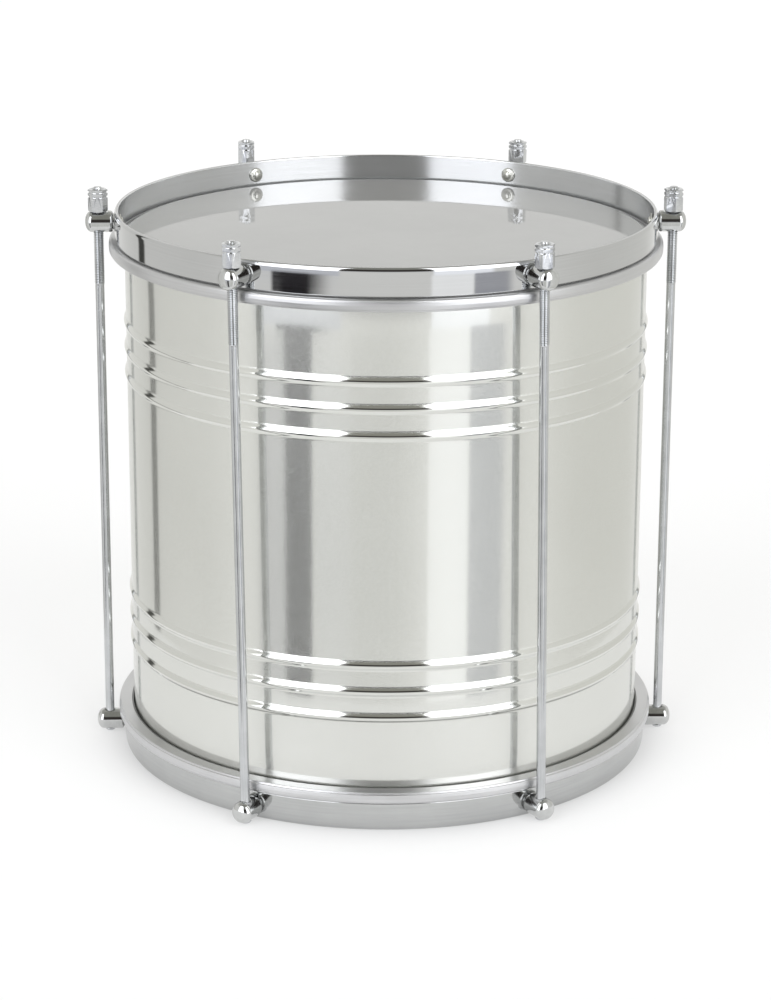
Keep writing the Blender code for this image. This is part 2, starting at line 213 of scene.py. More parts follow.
# ----------------------------------------------------------------- materials
class Nodes:
    """A small builder for node trees."""

    def __init__(self, tree):
        self.t = tree

    def add(self, kind, **inputs):
        node = self.t.nodes.new(kind)
        for key, value in inputs.items():
            if key in node.inputs:
                self.put(node.inputs[key], value)
            else:
                setattr(node, key, value)
        return node

    def put(self, socket, value):
        if isinstance(value, bpy.types.NodeSocket):
            self.t.links.new(value, socket)
        else:
            socket.default_value = value

    def math(self, op, a, b=0.0, c=0.0, clamp=False):
        node = self.t.nodes.new("ShaderNodeMath")
        node.operation, node.use_clamp = op, clamp
        for i, v in enumerate((a, b, c)):
            self.put(node.inputs[i], v)
        return node.outputs[0]

    def vmath(self, op, a, b=(0, 0, 0)):
        node = self.t.nodes.new("ShaderNodeVectorMath")
        node.operation = op
        self.put(node.inputs[0], a)
        self.put(node.inputs[1], b)
        return node.outputs["Value" if op in ("DOT_PRODUCT", "LENGTH") else "Vector"]

    def ramp(self, value, lo, hi, out_lo=0.0, out_hi=1.0, smooth=True):
        node = self.t.nodes.new("ShaderNodeMapRange")
        node.interpolation_type = "SMOOTHSTEP" if smooth else "LINEAR"
        node.clamp = True
        for key, v in (("Value", value), ("From Min", lo), ("From Max", hi),
                       ("To Min", out_lo), ("To Max", out_hi)):
            self.put(node.inputs[key], v)
        return node.outputs["Result"]

    def noise(self, vector, scale, detail=3.0, rough=0.5):
        node = self.t.nodes.new("ShaderNodeTexNoise")
        self.put(node.inputs["Vector"], vector)
        for key, v in (("Scale", scale), ("Detail", detail), ("Roughness", rough)):
            node.inputs[key].default_value = v
        return node.outputs["Fac"]

    def mix(self, factor, a, b):
        node = self.t.nodes.new("ShaderNodeMix")
        node.data_type = "RGBA"
        self.put(node.inputs["Factor"], factor)
        self.put(node.inputs["A"], a)
        self.put(node.inputs["B"], b)
        return node.outputs["Result"]

    def bump(self, height, strength, distance, normal=None):
        node = self.t.nodes.new("ShaderNodeBump")
        node.inputs["Strength"].default_value = strength
        node.inputs["Distance"].default_value = distance
        self.put(node.inputs["Height"], height)
        if normal is not None:
            self.put(node.inputs["Normal"], normal)
        return node.outputs["Normal"]


def rgba(c):
    return (c[0], c[1], c[2], 1.0)


def metal(name, dark, light, rough_lo, rough_hi, streak=(1.0, 1.0, 1.0), streak_scale=400.0,
          blotch_scale=14.0, bump=0.00001, wave=0.0, wave_scale=10.0, aniso=0.0, turn=0.0,
          axis="Z", grain=0.0, grain_scale=900.0):
    """Metal with fine machining lines, larger soft blotches of tone and
    roughness, and a slow waviness that bends what it mirrors.
    streak squeezes the line pattern: a large number makes lines across that axis."""
    mat = bpy.data.materials.new(name)
    mat.use_nodes = True
    n = Nodes(mat.node_tree)
    bsdf = mat.node_tree.nodes["Principled BSDF"]
    where = n.add("ShaderNodeTexCoord").outputs["Object"]
    lines = n.noise(n.vmath("MULTIPLY", where, streak), streak_scale, 3.0, 0.6)
    blotch = n.noise(where, blotch_scale, 4.0, 0.55)
    tone = n.math("ADD", n.math("MULTIPLY", lines, 0.45), n.math("MULTIPLY", blotch, 0.55))
    tone = n.ramp(tone, 0.32, 0.68)
    n.put(bsdf.inputs["Base Color"], n.mix(tone, rgba(dark), rgba(light)))
    rough = n.math("ADD", n.math("MULTIPLY", lines, 0.5), n.math("MULTIPLY", blotch, 0.5))
    n.put(bsdf.inputs["Roughness"], n.ramp(rough, 0.3, 0.7, rough_lo, rough_hi, smooth=False))
    bsdf.inputs["Metallic"].default_value = 1.0
    normal = None
    if wave:
        normal = n.bump(n.noise(where, wave_scale, 1.0, 0.4), 1.0, wave)
    if grain:
        normal = n.bump(n.noise(where, grain_scale, 2.0, 0.5), 1.0, grain, normal)
    if bump:
        normal = n.bump(lines, 1.0, bump, normal)
    if normal is not None:
        n.put(bsdf.inputs["Normal"], normal)
    if aniso:
        bsdf.inputs["Anisotropic"].default_value = aniso
        bsdf.inputs["Anisotropic Rotation"].default_value = turn
        tangent = n.add("ShaderNodeTangent", direction_type="RADIAL", axis=axis)
        n.put(bsdf.inputs["Tangent"], tangent.outputs["Tangent"])
    return mat


def shell_material():
    """Polished sheet with a faint bloom: a clear mirror broken by fine matt
    grains, finer than the eye resolves from a step away, so that dark things
    mirrored in it read as grey. The beads are rubbed bright."""
    mat = bpy.data.materials.new("shell_aluminium")
    mat.use_nodes = True
    n = Nodes(mat.node_tree)
    bsdf = mat.node_tree.nodes["Principled BSDF"]
    where = n.add("ShaderNodeTexCoord").outputs["Object"]
    grain = n.noise(where, 11000.0, 0.0, 0.5)
    cloud = n.noise(n.vmath("MULTIPLY", where, (1.0, 1.0, 1.4)), 480.0, 3.0, 0.6)
    matt = n.ramp(n.math("ADD", grain, n.math("MULTIPLY", n.math("SUBTRACT", cloud, 0.5), 0.05)), 0.47, 0.62)
    sep = n.add("ShaderNodeSeparateXYZ", Vector=where)
    out = n.math("SQRT", n.math("ADD", n.math("MULTIPLY", sep.outputs["X"], sep.outputs["X"]),
                                n.math("MULTIPLY", sep.outputs["Y"], sep.outputs["Y"])))
    rubbed = n.ramp(out, SHELL_R + 0.1 * MM, SHELL_R + 0.5 * MM, 1.0, 0.06)
    matt = n.math("MULTIPLY", matt, rubbed)
    n.put(bsdf.inputs["Roughness"], n.math("ADD", n.math("MULTIPLY", matt, 0.37), 0.07))
    tone = n.ramp(n.noise(where, 8.0, 4.0, 0.55), 0.32, 0.68)
    n.put(bsdf.inputs["Base Color"], n.mix(tone, rgba((0.690, 0.694, 0.662)), rgba((0.712, 0.716, 0.684))))
    bsdf.inputs["Metallic"].default_value = 1.0
    n.put(bsdf.inputs["Normal"], n.bump(n.noise(where, 7.0, 1.0, 0.4), 1.0, 0.00003))
    return mat


SHELL_MAT = shell_material()
CHROME_MAT = metal("hoop_chrome", (0.545, 0.548, 0.548), (0.575, 0.578, 0.578), 0.03, 0.07,
                   streak=(8.0, 8.0, 900.0), streak_scale=1.5, blotch_scale=20.0, bump=0.0000022,
                   wave=0.00003, wave_scale=16.0)
DRAWN_MAT = metal("hoop_inside_drawn", (0.68, 0.69, 0.695), (0.76, 0.77, 0.78), 0.12, 0.20,
                  streak=(10.0, 10.0, 1100.0), streak_scale=1.6, blotch_scale=16.0, bump=0.000004,
                  wave=0.00003, wave_scale=10.0)
# the bottom hoop: the same mirror chrome as the top hoop, a little rougher, with a darker base colour that is
# painted shade
LOW_HOOP_CHROME_SHADED_MAT = metal("hoop_satin", (0.475, 0.48, 0.478), (0.53, 0.535, 0.53), 0.08, 0.15,
                  streak=(14.0, 14.0, 500.0), streak_scale=1.6, blotch_scale=26.0, bump=0.000003,
                  wave=0.00003, wave_scale=14.0)
RING_MAT = metal("head_ring", (0.56, 0.56, 0.565), (0.64, 0.64, 0.645), 0.30, 0.38,
                 streak=(10.0, 10.0, 900.0), streak_scale=1.6, blotch_scale=18.0, bump=0.000004,
                 wave=0.00005, wave_scale=14.0)
LUG_MAT = metal("lug_chrome", (0.54, 0.545, 0.54), (0.62, 0.625, 0.62), 0.05, 0.12,
                streak=(1.0, 1.0, 8.0), streak_scale=300.0, blotch_scale=160.0, bump=0.0000015,
                wave=0.00004, wave_scale=120.0)
SCREW_MAT = metal("screw_steel", (0.52, 0.52, 0.48), (0.64, 0.64, 0.60), 0.12, 0.22,
                  streak=(1.0, 1.0, 6.0), streak_scale=500.0, blotch_scale=220.0, bump=0.000003)
ROD_MAT = metal("rod_zinc", (0.50, 0.51, 0.52), (0.62, 0.63, 0.64), 0.12, 0.20,
                streak=(60.0, 60.0, 1.0), streak_scale=28.0, blotch_scale=60.0, bump=0.000003,
                wave=0.00003, wave_scale=60.0)
NUT_MAT = metal("nut_zinc", (0.55, 0.56, 0.58), (0.70, 0.71, 0.72), 0.10, 0.18,
                streak=(1.0, 1.0, 6.0), streak_scale=260.0, blotch_scale=170.0, bump=0.000004,
                wave=0.00005, wave_scale=200.0)


def film_material():
    """Milky plastic film: a soft grey body under a smooth glossy face, with a
    faint mottle and the odd fine speck."""
    mat = bpy.data.materials.new("head_film")
    mat.use_nodes = True
    n = Nodes(mat.node_tree)
    bsdf = mat.node_tree.nodes["Principled BSDF"]
    where = n.add("ShaderNodeTexCoord").outputs["Object"]
    cloud = n.ramp(n.noise(where, 11.0, 5.0, 0.6), 0.3, 0.7)
    fleck = n.noise(where, 420.0, 2.0, 0.5)
    body = n.mix(cloud, rgba((0.372, 0.372, 0.364)), rgba((0.398, 0.398, 0.389)))
    body = n.mix(n.ramp(fleck, 0.62, 0.80, 0.0, 0.25), body, rgba((0.30, 0.30, 0.295)))
    n.put(bsdf.inputs["Base Color"], body)
    n.put(bsdf.inputs["Roughness"], n.ramp(n.noise(where, 60.0, 4.0, 0.6), 0.3, 0.7, 0.015, 0.04, smooth=False))
    bsdf.inputs["IOR"].default_value = 1.6
    wave = n.bump(n.noise(where, 9.0, 2.0, 0.5), 1.0, 0.00003)
    n.put(bsdf.inputs["Normal"], n.bump(fleck, 1.0, 0.000002, wave))
    return mat


FILM_MAT = film_material()


# --------------------------------------------------------------------- shell
def drawn_in(z):
    s = max(z - (SHELL_Z1 - RIM_DRAW_LONG), (SHELL_Z0 + RIM_DRAW_LONG) - z, 0.0)
    return RIM_DRAW * (s / RIM_DRAW_LONG) ** 2


def bead_rise(z):
    """How far the sheet stands out at height z: each bead is a half-round
    ridge that leaves the sheet in a small hollow curve."""
    for c in BEAD_HEIGHTS:
        t = abs(z - c) / BEAD_HALF
        if t < 1.0:
            return BEAD_RISE * (0.5 * (1.0 + cos(pi * t))) ** 0.85
    return 0.0


BEAD_HEIGHTS = [DRUM_H - b * MM for b in (64.6, 80.1, 95.6)] + [b * MM for b in (96.6, 81.1, 65.6)]


def shell_heights():
    """Heights from the top rim down, close together on the beads and rims."""
    zs = [SHELL_Z1 - 0.45 * MM, SHELL_Z1 - 0.8 * MM]
    zs += [SHELL_Z1 - RIM_DRAW_LONG * k / 9 for k in range(1, 10)]
    for c in BEAD_HEIGHTS:
        zs.append(c + BEAD_HALF + 0.3 * MM)
        zs += [c + BEAD_HALF * (1 - 2 * k / 22) for k in range(23)]
        zs.append(c - BEAD_HALF - 0.3 * MM)
    zs += [SHELL_Z0 + RIM_DRAW_LONG * k / 9 for k in range(9, 0, -1)]
    zs += [SHELL_Z0 + 0.8 * MM, SHELL_Z0 + 0.45 * MM]
    return zs


def shell_mesh():
    zs = shell_heights()
    mid = SHELL_R - SHELL_WALL / 2
    outer = [(SHELL_R + bead_rise(z) - drawn_in(z), z) for z in zs]
    inner = [(SHELL_R - SHELL_WALL + bead_rise(z) - drawn_in(z), z) for z in reversed(zs)]
    top = [(inner[-1][0] + 0.25 * MM, SHELL_Z1 - 0.08 * MM), (mid - drawn_in(SHELL_Z1), SHELL_Z1),
           (outer[0][0] - 0.25 * MM, SHELL_Z1 - 0.08 * MM)]
    low = [(outer[-1][0] - 0.25 * MM, SHELL_Z0 + 0.08 * MM), (mid - drawn_in(SHELL_Z0), SHELL_Z0),
           (inner[0][0] + 0.25 * MM, SHELL_Z0 + 0.08 * MM)]
    return turned("shell_fine", top + outer + low + inner, closed=True, sharp=50.0)


add_piece("shell_fine", shell_mesh(), "drum", ["shell"], SHELL_MAT)


# --------------------------------------------------------------------- heads
def film_mesh(name, flip):
    """Playing surface, a small radius over the shell's edge and the collar."""
    drop = HEAD_RECESS - HOOP_TALL - RING_TALL
    bend = 1.6 * MM
    outer, inner = [], []
    for k in range(9):
        a = (pi / 2) * k / 8
        outer.append((COLLAR_R - bend + bend * sin(a), -bend + bend * cos(a)))
        inner.append((COLLAR_R - bend + (bend - FILM) * sin(a), -bend + (bend - FILM) * cos(a)))
    flat = [(0.0, 0.0)] + [(r * MM, 0.0) for r in (25, 50, 75, 100, 120, 135, 145, 150, 151.3)]
    under = [(r * MM, -FILM) for r in (151.3, 150, 145, 135, 120, 100, 75, 50, 25)] + [(0.0, -FILM)]
    outline = flat + outer + [(COLLAR_R, drop), (COLLAR_R - FILM, drop)] + list(reversed(inner)) + under
    mesh = turned(name, outline, closed=False, sharp=40.0)
    return moved(mesh, Matrix.Rotation(pi, 4, "X")) if flip else mesh


add_piece("top_head_film_fine", film_mesh("top_head_film_fine", False), "drum", ["top_head_film"],
          FILM_MAT, Matrix.Translation((0, 0, DRUM_H - HEAD_RECESS)))
add_piece("bottom_head_film_fine", film_mesh("bottom_head_film_fine", True), "drum", ["bottom_head_film"],
          FILM_MAT, Matrix.Translation((0, 0, HEAD_RECESS)))


# --------------------------------------------------------------- flesh rings
def ring_mesh(name, flip):
    """A rolled aluminium ring. z = 0 is the side that the hoop bears on, and
    the other side, towards the middle of the drum, has a crimped lip."""
    r, h = RING_R_OUT, RING_TALL
    points = [(RING_R_IN, 0.0), (r - 0.2 * MM, 0.0), (r, h * 0.5), (r - 0.15 * MM, h - 1.35 * MM),
              (r - 0.75 * MM, h - 1.05 * MM), (r - 0.95 * MM, h), (RING_R_IN, h)]
    radii = [0.5 * MM, 1.9 * MM, 3.0 * MM, 0.25 * MM, 0.25 * MM, 0.55 * MM, 0.5 * MM]
    outline = rounded(points, radii, arc=7, hold=0.06 * MM)
    mesh = turned(name, outline, closed=True, sharp=50.0)
    return moved(mesh, Matrix.Rotation(pi, 4, "X")) if flip else mesh


add_piece("top_head_ring_fine", ring_mesh("top_head_ring_fine", True), "drum", ["top_head_ring"],
          RING_MAT, Matrix.Translation((0, 0, DRUM_H - HOOP_TALL - GAP)))
add_piece("bottom_head_ring_fine", ring_mesh("bottom_head_ring_fine", False), "drum", ["bottom_head_ring"],
          RING_MAT, Matrix.Translation((0, 0, HOOP_TALL + GAP)))


# --------------------------------------------------------------------- hoops
def hoop_mesh(name, mats, lug_z, offsets, turn, flip):
    """A flat hoop: its free edge, here the upper one, is rolled over in a long
    curve outside and a small one inside, and there is a round screw hole at
    each lug. z = 0 is the edge that bears on the flesh ring. The mesh's own
    even spacing is turned by turn, and offsets are the lugs' true angles."""
    roll, fall = 1.35 * MM, 2.4 * MM
    rolled = [(HOOP_R_IN + 0.75 * MM, HOOP_TALL), (HOOP_R_OUT - roll - 0.1 * MM, HOOP_TALL)]
    rolled += [(HOOP_R_OUT - roll + roll * sin(pi / 2 * k / 12), HOOP_TALL - fall + fall * cos(pi / 2 * k / 12))
               for k in range(13)]
    corners = [(HOOP_R_OUT, HOOP_TALL), (HOOP_R_OUT, 0.0), (HOOP_R_IN, 0.0), (HOOP_R_IN, HOOP_TALL)]
    outline = rolled + rounded(corners, [0.5 * MM, 0.9 * MM, 0.7 * MM, 0.7 * MM], arc=7)[10:]
    reach = 3.2 * MM
    n_top, n_arc = len(rolled), 10                # points of the rolled edge, and of each other corner

    def walled(points, radius, downwards):
        zs = [lug_z + reach, lug_z, lug_z - reach]
        return [(radius, z) for z in (zs if downwards else reversed(zs))]

    top_out, low_out = outline[:n_top], outline[n_top:n_top + n_arc]
    low_in, top_in = outline[n_top + n_arc:n_top + 2 * n_arc], outline[n_top + 2 * n_arc:]
    # top_out runs over the outer top edge, from the top face to the outer wall
    rows = (top_out + walled(outline, HOOP_R_OUT, True) + low_out + low_in
            + walled(outline, HOOP_R_IN, False) + top_in)
    bm, rings = turned_bm(rows, ROUND, True)
    first_out = len(top_out)
    first_in = len(top_out) + 3 + len(low_out) + len(low_in)
    for i in range(6):
        c = i * ROUND // 6
        angle = TAU * i / 6
        loops = []
        for first, radius, top in ((first_out, HOOP_R_OUT, 0), (first_in, HOOP_R_IN, 2)):
            up, mid, down = rings[first + top], rings[first + 1], rings[first + 2 - top]
            left, right = (c + 1) % ROUND, (c - 1) % ROUND
            # seen from outside, with the angle growing to the left
            border = [up[right], up[c], up[left], mid[left], down[left], down[c], down[right], mid[right]]
            bmesh.ops.delete(bm, geom=[mid[c]], context="VERTS")
            circle = []
            for k in range(16):
                t = -pi / 4 + TAU * k / 16          # starts towards up, right
                side, rise = SCREW_HOLE_R * sin(t), SCREW_HOLE_R * cos(t)
                a = angle + radians(offsets[i] - turn) + side / radius
                circle.append(bm.verts.new((radius * cos(a), radius * sin(a), lug_z + rise)))
            for k in range(8):
                bm.faces.new((border[k], border[(k + 1) % 8], circle[(2 * k + 2) % 16],
                              circle[2 * k + 1], circle[2 * k]))
            loops.append(circle)
        for k in range(16):
            q = (k + 1) % 16
            bm.faces.new((loops[0][k], loops[0][q], loops[1][q], loops[1][k]))
    if flip:
        bmesh.ops.scale(bm, vec=(1.0, 1.0, -1.0), verts=bm.verts)
        bmesh.ops.translate(bm, vec=(0.0, 0.0, HOOP_TALL), verts=bm.verts)
    mesh = finish_mesh(bm, name, 40.0)
    for m in mats:
        mesh.materials.append(m)
    if len(mats) > 1:
        inner_edge = HOOP_R_IN + 0.45 * MM
        for poly in mesh.polygons:
            x, y, z = poly.center
            if x * x + y * y < inner_edge * inner_edge:
                poly.material_index = 1
    return mesh


add_piece("top_hoop_fine",
          hoop_mesh("top_hoop_fine", [CHROME_MAT, DRAWN_MAT], LUG_Z_TOP - DRUM_H + HOOP_TALL, TOP_OFFSETS,
                    TOP_TURN, False),
          "top_hoop_set", ["top_hoop"], None,
          Matrix.Translation((0, 0, DRUM_H - HOOP_TALL)) @ Matrix.Rotation(radians(TOP_TURN), 4, "Z"))
# the bottom hoop wears the darker chrome, whose darkness is painted shade
add_piece("bottom_hoop_fine",
          hoop_mesh("bottom_hoop_fine", [LOW_HOOP_CHROME_SHADED_MAT], HOOP_TALL - LUG_Z_LOW, LOW_OFFSETS, LOW_TURN, True),
          "drum", ["bottom_hoop"], None, Matrix.Rotation(radians(LOW_TURN), 4, "Z"))


# ---------------------------------------------------------------------- lugs
def lug_mesh(name, top):
    """Turned from bar: a straight body with a rounded end, which rounds in to a
    short neck at the hoop. The rod's hole crosses it and is countersunk, the
    nut or the rod's head has a flat to bear on, and a screw enters from the
    hoop side. Local Z points outwards, local Y up."""
    start = LUG_BODY + LUG_TIP - LUG_CAP
    pts = [(0.0, start + LUG_CAP)]
    for k in range(1, 21):
        a = (pi / 2) * k / 20
        pts.append((LUG_R * sin(a) ** 0.9, start + LUG_CAP * max(cos(a), 0.0) ** 0.9))
    pts += [(LUG_R, start - 0.4 * MM), (LUG_R, 2.5 * MM)]
    for k in range(1, 9):
        a = (pi / 2) * k / 8
        pts.append((LUG_R - 1.2 * MM + 1.2 * MM * cos(a), 2.2 * MM - 1.4 * MM * sin(a)))
    pts += [(4.7 * MM, 0.4 * MM), (4.7 * MM, 0.0), (0.0, 0.0)]
    base = turned(name + "_blank", pts, 64, closed=False)
    hole = 3.5 * MM if top else 3.0 * MM
    lip = 0.7 * MM
    # a bore with a cone at both ends, along local Y
    e = LUG_R + 2 * MM
    cone = [(0.0, e), (hole + lip + (e - LUG_R), e), (hole, LUG_R - lip), (hole, -(LUG_R - lip)),
            (hole + lip + (e - LUG_R), -e), (0.0, -e)]
    across = Matrix.Translation((0.0, 0.0, LUG_BODY)) @ Matrix.Rotation(-pi / 2, 4, "X")
    mesh = boolean(base, moved(turned("bore", cone, 40, closed=False), across))
    side = 1 if top else -1
    flat = [(0.0, 4 * MM), (6.1 * MM, 4 * MM), (6.1 * MM, 0.0), (0.0, 0.0)]
    seat = moved(turned("seat", flat, 48, closed=False),
                 Matrix.Translation((0.0, side * (LUG_SPOT if top else LUG_FOOT_SPOT), LUG_BODY)) @ Matrix.Rotation(-side * pi / 2, 4, "X"))
    mesh = boolean(mesh, seat)
    tapped = [(0.0, 5.4 * MM), (SCREW_HOLE_R - 0.2 * MM, 5.4 * MM), (SCREW_HOLE_R - 0.2 * MM, 0.3 * MM),
              (SCREW_HOLE_R, -0.5 * MM), (0.0, -0.5 * MM)]
    mesh = boolean(mesh, turned("tapped", tapped, 32, closed=False))
    mesh.shade_smooth()
    mesh.set_sharp_from_angle(angle=radians(28))
    return mesh


TOP_LUG, LOW_LUG = lug_mesh("top_lug_shape", True), lug_mesh("bottom_lug_shape", False)
for i in range(6):
    add_piece(f"top_lug_{i + 1}_fine", TOP_LUG, "top_hoop_set", [f"top_lug_{i + 1}"], LUG_MAT,
              radial_matrix(top_angle(i), LUG_BASE_R, LUG_Z_TOP))
    add_piece(f"bottom_lug_{i + 1}_fine", LOW_LUG, "drum", [f"bottom_lug_{i + 1}"], LUG_MAT,
              radial_matrix(low_angle(i), LUG_BASE_R, LUG_Z_LOW))


# -------------------------------------------------------------------- screws
def screw_mesh():
    """A domed head on a thin flange, and the shank. Local Z points outwards
    from the drum's axis, 0 is the hoop's outer face."""
    seat = -(HOOP_R_OUT - HOOP_R_IN) - GAP - 0.1 * MM
    tip = GAP + 5.0 * MM
    pts = [(0.0, tip), (SCREW_R - 0.4 * MM, tip), (SCREW_R, tip - 0.4 * MM), (SCREW_R, seat),
           (4.05 * MM, seat), (4.3 * MM, seat - 0.12 * MM), (4.38 * MM, seat - 0.35 * MM),
           (4.25 * MM, seat - 0.62 * MM), (3.95 * MM, seat - 0.82 * MM), (3.5 * MM, seat - 0.93 * MM),
           (3.05 * MM, seat - 0.97 * MM), (2.75 * MM, seat - 1.02 * MM)]
    for k in range(0, 13):
        t = (pi / 2) * k / 12
        pts.append((2.5 * MM * cos(t), seat - 1.15 * MM - 1.2 * MM * sin(t)))
    pts[-1] = (0.0, pts[-1][1])
    return turned("screw_shape", pts, 48, closed=False, sharp=40.0)


SCREW = screw_mesh()
for i in range(6):
    add_piece(f"top_lug_screw_{i + 1}_fine", SCREW, "top_hoop_set", [f"top_lug_screw_{i + 1}"],
              SCREW_MAT, radial_matrix(top_angle(i), HOOP_R_OUT, LUG_Z_TOP))
    add_piece(f"bottom_lug_screw_{i + 1}_fine", SCREW, "drum", [f"bottom_lug_screw_{i + 1}"],
              SCREW_MAT, radial_matrix(low_angle(i), HOOP_R_OUT, LUG_Z_LOW))


# -------------------------------------------------------------- tension rods
def rod_mesh():
    """A plain shank with a rounded head at the bottom and a rolled thread at
    the top: rows of points that climb round the rod by one pitch a turn."""
    around, per = 24, 8
    bm = bmesh.new()

    def ring(r, z):
        return [bm.verts.new((r * cos(TAU * j / around), r * sin(TAU * j / around), z)) for j in range(around)]

    def skin(a, b):
        for j in range(around):
            k = (j + 1) % around
            bm.faces.new((a[j], a[k], b[k], b[j]))

    head_top = LUG_Z_LOW - LUG_FOOT_SPOT - GAP
    low = [(1.1, 0.06), (2.0, 0.22), (2.6, 0.5), (3.0, 0.95), (3.15, 1.35), (3.2, 1.7), (3.1, 1.88)]
    rings = [ring(r * MM, ROD_Z0 + z * MM) for r, z in low]
    tip = bm.verts.new((0.0, 0.0, ROD_Z0))
    for j in range(around):
        bm.faces.new((tip, rings[0][(j + 1) % around], rings[0][j]))
    rings.append(ring(ROD_R + 0.1 * MM, head_top))
    rings.append(ring(ROD_R, head_top + 0.1 * MM))
    start = ROD_Z1 - THREAD_LONG
    for z in (20 * MM, 60 * MM, 120 * MM, 180 * MM, 240 * MM, start - 1.2 * MM, start - 0.4 * MM):
        rings.append(ring(ROD_R, z))
    for a, b in zip(rings, rings[1:]):
        skin(a, b)

    # one pitch of the thread, from root to root: root, flank, crest, flank
    shape = (0.0, 0.18, 0.55, 0.92, 1.0, 0.92, 0.55, 0.18)
    top = ROD_Z1 - 0.45 * MM
    turns = int((top - 0.9 * PITCH - start) / PITCH)
    rows = turns * per
    grid = [[None] * (rows + 1) for _ in range(around)]
    for j in range(around):
        for k in range(rows + 1):
            z = start + (k / per + j / around) * PITCH
            s = shape[k % per]
            run_out = min(1.0, (z - start) / (1.6 * PITCH))
            r = ROD_R + run_out * (THREAD_ROOT + (THREAD_CREST - THREAD_ROOT) * s - ROD_R)
            r = min(r, THREAD_CREST - max(0.0, z - (top - 0.9 * MM)) * 0.75)
            grid[j][k] = bm.verts.new((r * cos(TAU * j / around), r * sin(TAU * j / around), z))
    for j in range(around - 1):
        for k in range(rows):
            bm.faces.new((grid[j][k], grid[j + 1][k], grid[j + 1][k + 1], grid[j][k + 1]))
    last = around - 1
    for k in range(rows - per):
        bm.faces.new((grid[last][k], grid[0][k + per], grid[0][k + per + 1], grid[last][k + 1]))
    base = rings[-1]
    for j in range(around - 1):
        bm.faces.new((base[j], base[j + 1], grid[j + 1][0], grid[j][0]))
    bm.faces.new([base[last], base[0]] + [grid[0][k] for k in range(per + 1)] + [grid[last][0]])
    end = ring(2.2 * MM, ROD_Z1 - 0.12 * MM)
    for j in range(around - 1):
        bm.faces.new((grid[j][rows], grid[j + 1][rows], end[j + 1], end[j]))
    bm.faces.new([grid[last][k] for k in range(rows, rows - per - 1, -1)][::-1]
                 + [end[last], end[0], grid[0][rows]])
    crown = ring(1.3 * MM, ROD_Z1 - 0.02 * MM)
    skin(end, crown)
    peak = bm.verts.new((0.0, 0.0, ROD_Z1))
    for j in range(around):
        bm.faces.new((crown[j], crown[(j + 1) % around], peak))
    return finish_mesh(bm, "rod_shape", 60.0)


def rod_axis(i):
    """Local Z runs up the rod, from the axis of its bottom lug to the axis of
    its top lug. The origin is level with z = 0."""
    low, top = low_angle(i), top_angle(i)
    foot = Vector((ROD_CIRCLE_R * cos(low), ROD_CIRCLE_R * sin(low), LUG_Z_LOW))
    head = Vector((ROD_CIRCLE_R * cos(top), ROD_CIRCLE_R * sin(top), LUG_Z_TOP))
    lean = Vector((0.0, 0.0, 1.0)).rotation_difference(head - foot).to_matrix().to_4x4()
    return Matrix.Translation(foot) @ lean @ Matrix.Translation((0.0, 0.0, -LUG_Z_LOW))


ROD = rod_mesh()
for i in range(6):
    add_piece(f"tension_rod_{i + 1}_fine", ROD, "drum", [f"tension_rod_{i + 1}"], ROD_MAT,
              rod_axis(i) @ Matrix.Rotation(1.7 * i, 4, "Z"))


# -------------------------------------------------------------- tension nuts
def nut_mesh():
    """A tall hexagonal nut: eased corners, chamfered ends, two turned grooves
    that notch its corners near the top, and a countersunk bore."""
    across = NUT_AF / 2 / cos(pi / 6)
    bm = bmesh.new()
    bmesh.ops.create_cone(bm, cap_ends=True, cap_tris=False, segments=6, radius1=across, radius2=across,
                          depth=NUT_TALL, matrix=Matrix.Translation((0.0, 0.0, NUT_TALL / 2)))
    upright = [e for e in bm.edges if abs(e.verts[0].co.z - e.verts[1].co.z) > NUT_TALL / 2]
    bmesh.ops.bevel(bm, geom=upright, offset=0.14 * MM, segments=3, profile=0.5, affect="EDGES")
    hexagon = finish_mesh(bm, "hexagon")
    flat, wide, g = NUT_AF / 2, across + 0.4 * MM, 0.75 * MM
    floor = 5.02 * MM
    pts = [(0.0, NUT_TALL), (flat - 0.15 * MM, NUT_TALL), (wide, NUT_TALL - 0.75 * MM)]
    for depth in NUT_GROOVES:
        z = NUT_TALL - depth
        pts += [(wide, z + g)]
        for k in range(7):
            t = pi * k / 6
            pts.append((floor + (1 - sin(t)) * 0.5 * MM, z + 0.8 * g * cos(t)))
        pts += [(wide, z - g)]
    pts += [(wide, 0.85 * MM), (flat - 0.15 * MM, 0.0), (0.0, 0.0)]
    mesh = boolean(hexagon, turned("turning", pts, 96, closed=False), "INTERSECT")
    b = 3.2 * MM
    bore = [(0.0, NUT_TALL + 2 * MM), (b + 2.7 * MM, NUT_TALL + 2 * MM), (b, NUT_TALL - 0.7 * MM),
            (b, 0.7 * MM), (b + 2.7 * MM, -2 * MM), (0.0, -2 * MM)]
    mesh = boolean(mesh, turned("bore", bore, 48, closed=False))
    mesh.shade_smooth()
    mesh.set_sharp_from_angle(angle=radians(24))
    return mesh


NUT = nut_mesh()
for i in range(6):
    add_piece(f"tension_nut_{i + 1}_fine", NUT, f"nut_{i + 1}", [f"tension_nut_{i + 1}"], NUT_MAT,
              rod_axis(i) @ Matrix.Translation((0.0, 0.0, NUT_Z)) @ Matrix.Rotation(radians(NUT_TURNS[i]), 4, "Z"))


# -------------------------------------------------------------------- studio
CAMERA_TURN = radians(1.4)        # the camera stands a little left of the front


